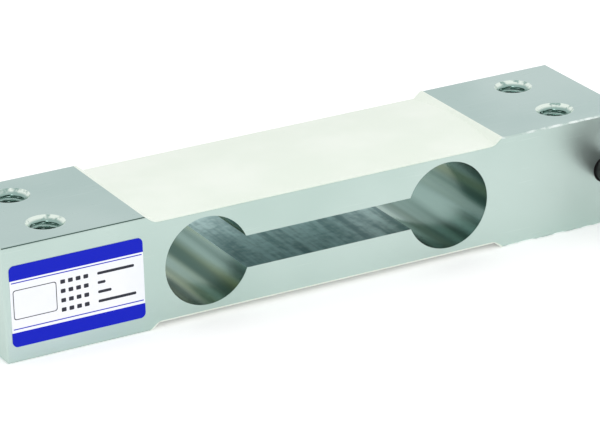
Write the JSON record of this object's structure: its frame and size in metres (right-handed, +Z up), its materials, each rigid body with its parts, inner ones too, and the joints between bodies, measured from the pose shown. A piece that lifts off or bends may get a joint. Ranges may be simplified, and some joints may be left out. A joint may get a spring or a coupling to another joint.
{
  "type": "single point load cell",
  "caption": "Flat aluminium beam with twin cross bores joined by a slot, white sealed strain-gauge recesses, tapped mounting holes and a side cable; it turns a load into a signal.",
  "frame": {"origin": "centre of the beam's underside, on the plane that it rests on", "axes": "+X along the beam towards its cable end, +Y to the back (the cable leaves the front, at -Y), +Z up towards the loaded face"},
  "size_m": [0.2398, 0.0723, 0.022],
  "materials": {
    "aluminium": "machined, lightly ground faces",
    "seal_white": "white poured sealing compound",
    "label": "printed vinyl sheet, bare",
    "gauge_film": "amber polyimide film",
    "gauge_foil": "etched constantan foil",
    "copper": "bare copper",
    "circuit_board": "green glass-epoxy laminate",
    "resistor": "dark ceramic chip",
    "link_wire": "enamelled wire",
    "wire_red": "PVC wire cover",
    "wire_black": "PVC wire cover",
    "wire_green": "PVC wire cover",
    "wire_white": "PVC wire cover",
    "potting": "elastic potting compound",
    "shrink_tube": "heat-shrink tube",
    "cable_jacket": "black PVC jacket, satin",
    "tinned_wire": "tinned copper strands"
  },
  "bodies": {
    "root": {"beam": "aluminium", "top_seal": "seal_white", "bottom_seal": "seal_white", "rating_label": "label", "gauge_film_top_right": "gauge_film", "gauge_film_top_left": "gauge_film", "gauge_film_bottom_right": "gauge_film", "gauge_film_bottom_left": "gauge_film", "gauge_grid_top_right": "gauge_foil", "gauge_grid_top_left": "gauge_foil", "gauge_grid_bottom_right": "gauge_foil", "gauge_grid_bottom_left": "gauge_foil", "gauge_ribbons_top_right": "copper", "gauge_ribbons_top_left": "copper", "gauge_ribbons_bottom_right": "copper", "gauge_ribbons_bottom_left": "copper", "circuit_board": "circuit_board", "terminal_board": "circuit_board", "solder_pads_top": "copper", "solder_pads_bottom": "copper", "trim_resistors": "resistor", "inner_lead_red": "wire_red", "inner_lead_black": "wire_black", "inner_lead_green": "wire_green", "inner_lead_white": "wire_white", "link_leads": "link_wire", "cable_seal": "potting", "splice_sleeve": "shrink_tube", "signal_cable": "cable_jacket", "cable_coil": "cable_jacket", "end_sleeve": "shrink_tube", "lead_red": "wire_red", "lead_black": "wire_black", "lead_green": "wire_green", "lead_white": "wire_white", "drain_wire": "tinned_wire", "lead_tips": "tinned_wire"}
  },
  "joints": []
}
